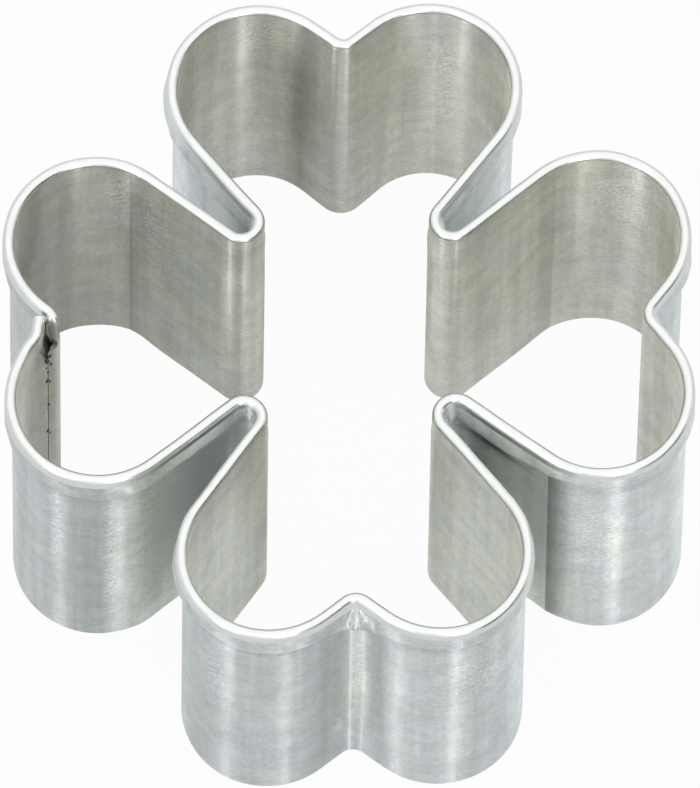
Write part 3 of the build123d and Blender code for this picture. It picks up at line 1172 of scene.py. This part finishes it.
# Upright lamps that draw the narrow streaks down the lobes: name, how far round to the
# right of the camera in degrees, width, and how bright they show
UPRIGHT_LAMPS = [
    ("right_lamp", 15.5, 0.045, 8.0),
    ("left_lamp", -38.5, 0.045, 8.0),
]
LAMP_REACH = 0.65
LAMP_MIDDLE = Vector((0, 0, 0.47))
LAMP_HEIGHT = 0.86

# The black card stands to the right of the camera, between these two turns
CARD_TURNS = radians(30), radians(85)
CARD_REACH = 0.7
CARD_MIDDLE = 0.2
CARD_HEIGHT = 0.34


def round_from_camera(place):
    """How far round to the right of the camera a place lies."""
    return atan2(place.x, -place.y)


class CUTTER_OT_stage(Operator):
    """Sets the table, the light and the camera"""

    bl_idname = "cutter.stage"
    bl_label = "Table and light"

    def execute(self, context):
        aim_camera()
        # The table's top lies a hair below the cutting edge, so that they don't share a plane
        floor = start_from(
            bpy.ops.mesh.primitive_circle_add,
            vertices=96,
            radius=FLOOR_RADIUS,
            fill_type="NGON",
            location=(0, 0, -HAIR),
        )
        floor.name = "table"
        floor.data.materials.append(table_white())
        card = start_from(
            bpy.ops.mesh.primitive_cylinder_add,
            vertices=96,
            radius=CARD_REACH,
            depth=CARD_HEIGHT,
            end_fill_type="NOTHING",
            location=(0, 0, CARD_MIDDLE),
        )
        card.name = "black_card"
        first, last = CARD_TURNS
        select(card, "FACE", lambda face: not first < round_from_camera(face.center) < last)
        bpy.ops.mesh.delete(type="FACE")
        bpy.ops.object.mode_set(mode="OBJECT")
        card.data.materials.append(card_black())
        card.visible_camera = False
        card.visible_diffuse = False
        card.visible_shadow = False
        place, side = OVERHEAD_PLACE, OVERHEAD_SIDE
        softbox("overhead_softbox", place, (place.x, place.y, 0), side, side, OVERHEAD_RADIANCE)
        for name, turn, width, radiance in UPRIGHT_LAMPS:
            way = Vector((sin(radians(turn)), -cos(radians(turn)), 0))
            place = way * LAMP_REACH + LAMP_MIDDLE
            lamp = softbox(name, place, LAMP_MIDDLE, width, LAMP_HEIGHT, radiance)
            lamp.visible_diffuse = False
        world = bpy.data.worlds.new("pale_room")
        context.scene.world = world
        world.use_nodes = True
        tree = world.node_tree
        tree.nodes.clear()
        share = seen_share(tree, 1.0, 1.0)
        level = add(tree, "MapRange", {"Value": share, "To Min": 0.6, "To Max": 1.0})
        sky = add(tree, "Background", {"Color": seen_tone(tree, "#EBEDED"), "Strength": level})
        add(tree, "OutputWorld", {"Surface": sky})
        context.scene.view_settings.view_transform = "Standard"
        return {"FINISHED"}


class CUTTER_PT_panel(Panel):
    """Lists the pieces of the cutter with their sizes and colours"""

    bl_label = "Clover cookie cutter"
    bl_space_type = "VIEW_3D"
    bl_region_type = "UI"
    bl_category = "Cutter"

    def draw(self, context):
        for group in (context.scene.cutter_strip, context.scene.cutter_finish):
            box = self.layout.box()
            for name in group.__annotations__:
                box.prop(group, name)
        for operator in (CUTTER_OT_strip, CUTTER_OT_welds, CUTTER_OT_stage):
            self.layout.operator(operator.bl_idname)


classes = (
    FinishSettings,
    StripSettings,
    CUTTER_OT_strip,
    CUTTER_OT_welds,
    CUTTER_OT_stage,
    CUTTER_PT_panel,
)


def register():
    for item in classes:
        bpy.utils.register_class(item)
    bpy.types.Scene.cutter_strip = PointerProperty(type=StripSettings)
    bpy.types.Scene.cutter_finish = PointerProperty(type=FinishSettings)


def unregister():
    del bpy.types.Scene.cutter_finish
    del bpy.types.Scene.cutter_strip
    for item in reversed(classes):
        bpy.utils.unregister_class(item)


def main():
    register()
    bpy.ops.cutter.strip()
    bpy.ops.cutter.welds()
    bpy.ops.cutter.stage()


if __name__ == "__main__":
    main()
